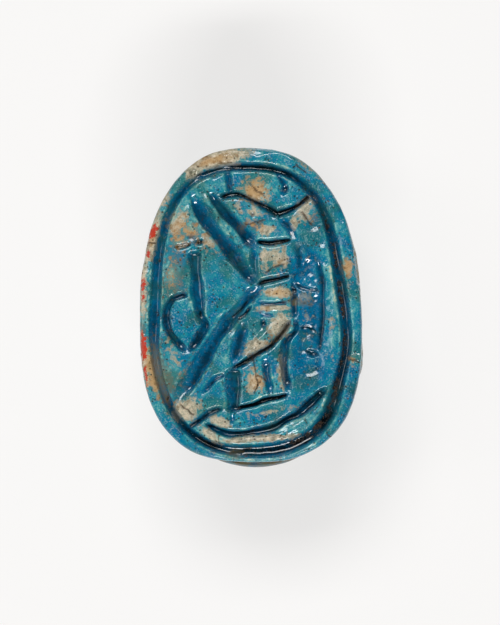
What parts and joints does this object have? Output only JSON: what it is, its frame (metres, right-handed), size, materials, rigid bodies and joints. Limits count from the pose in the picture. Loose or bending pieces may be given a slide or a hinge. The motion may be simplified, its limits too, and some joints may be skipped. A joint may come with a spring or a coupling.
{
  "type": "scarab amulet",
  "caption": "Glazed stone beetle amulet with an egg-shaped base engraved with a winged figure inside a border line, pierced lengthwise for a string.",
  "frame": {"origin": "middle of the object's box in X and Y, on the small flat spot of the beetle's back that it lies on", "axes": "+Z out of the engraved base, +Y to the beetle's tail and the top of the engraved picture, +X to the picture's right"},
  "size_m": [0.0122, 0.0172, 0.0074],
  "materials": {
    "glazed_stone": "worn turquoise-blue glaze, pooled dark in the carving"
  },
  "bodies": {
    "root": {"scarab": "glazed_stone"}
  },
  "joints": []
}
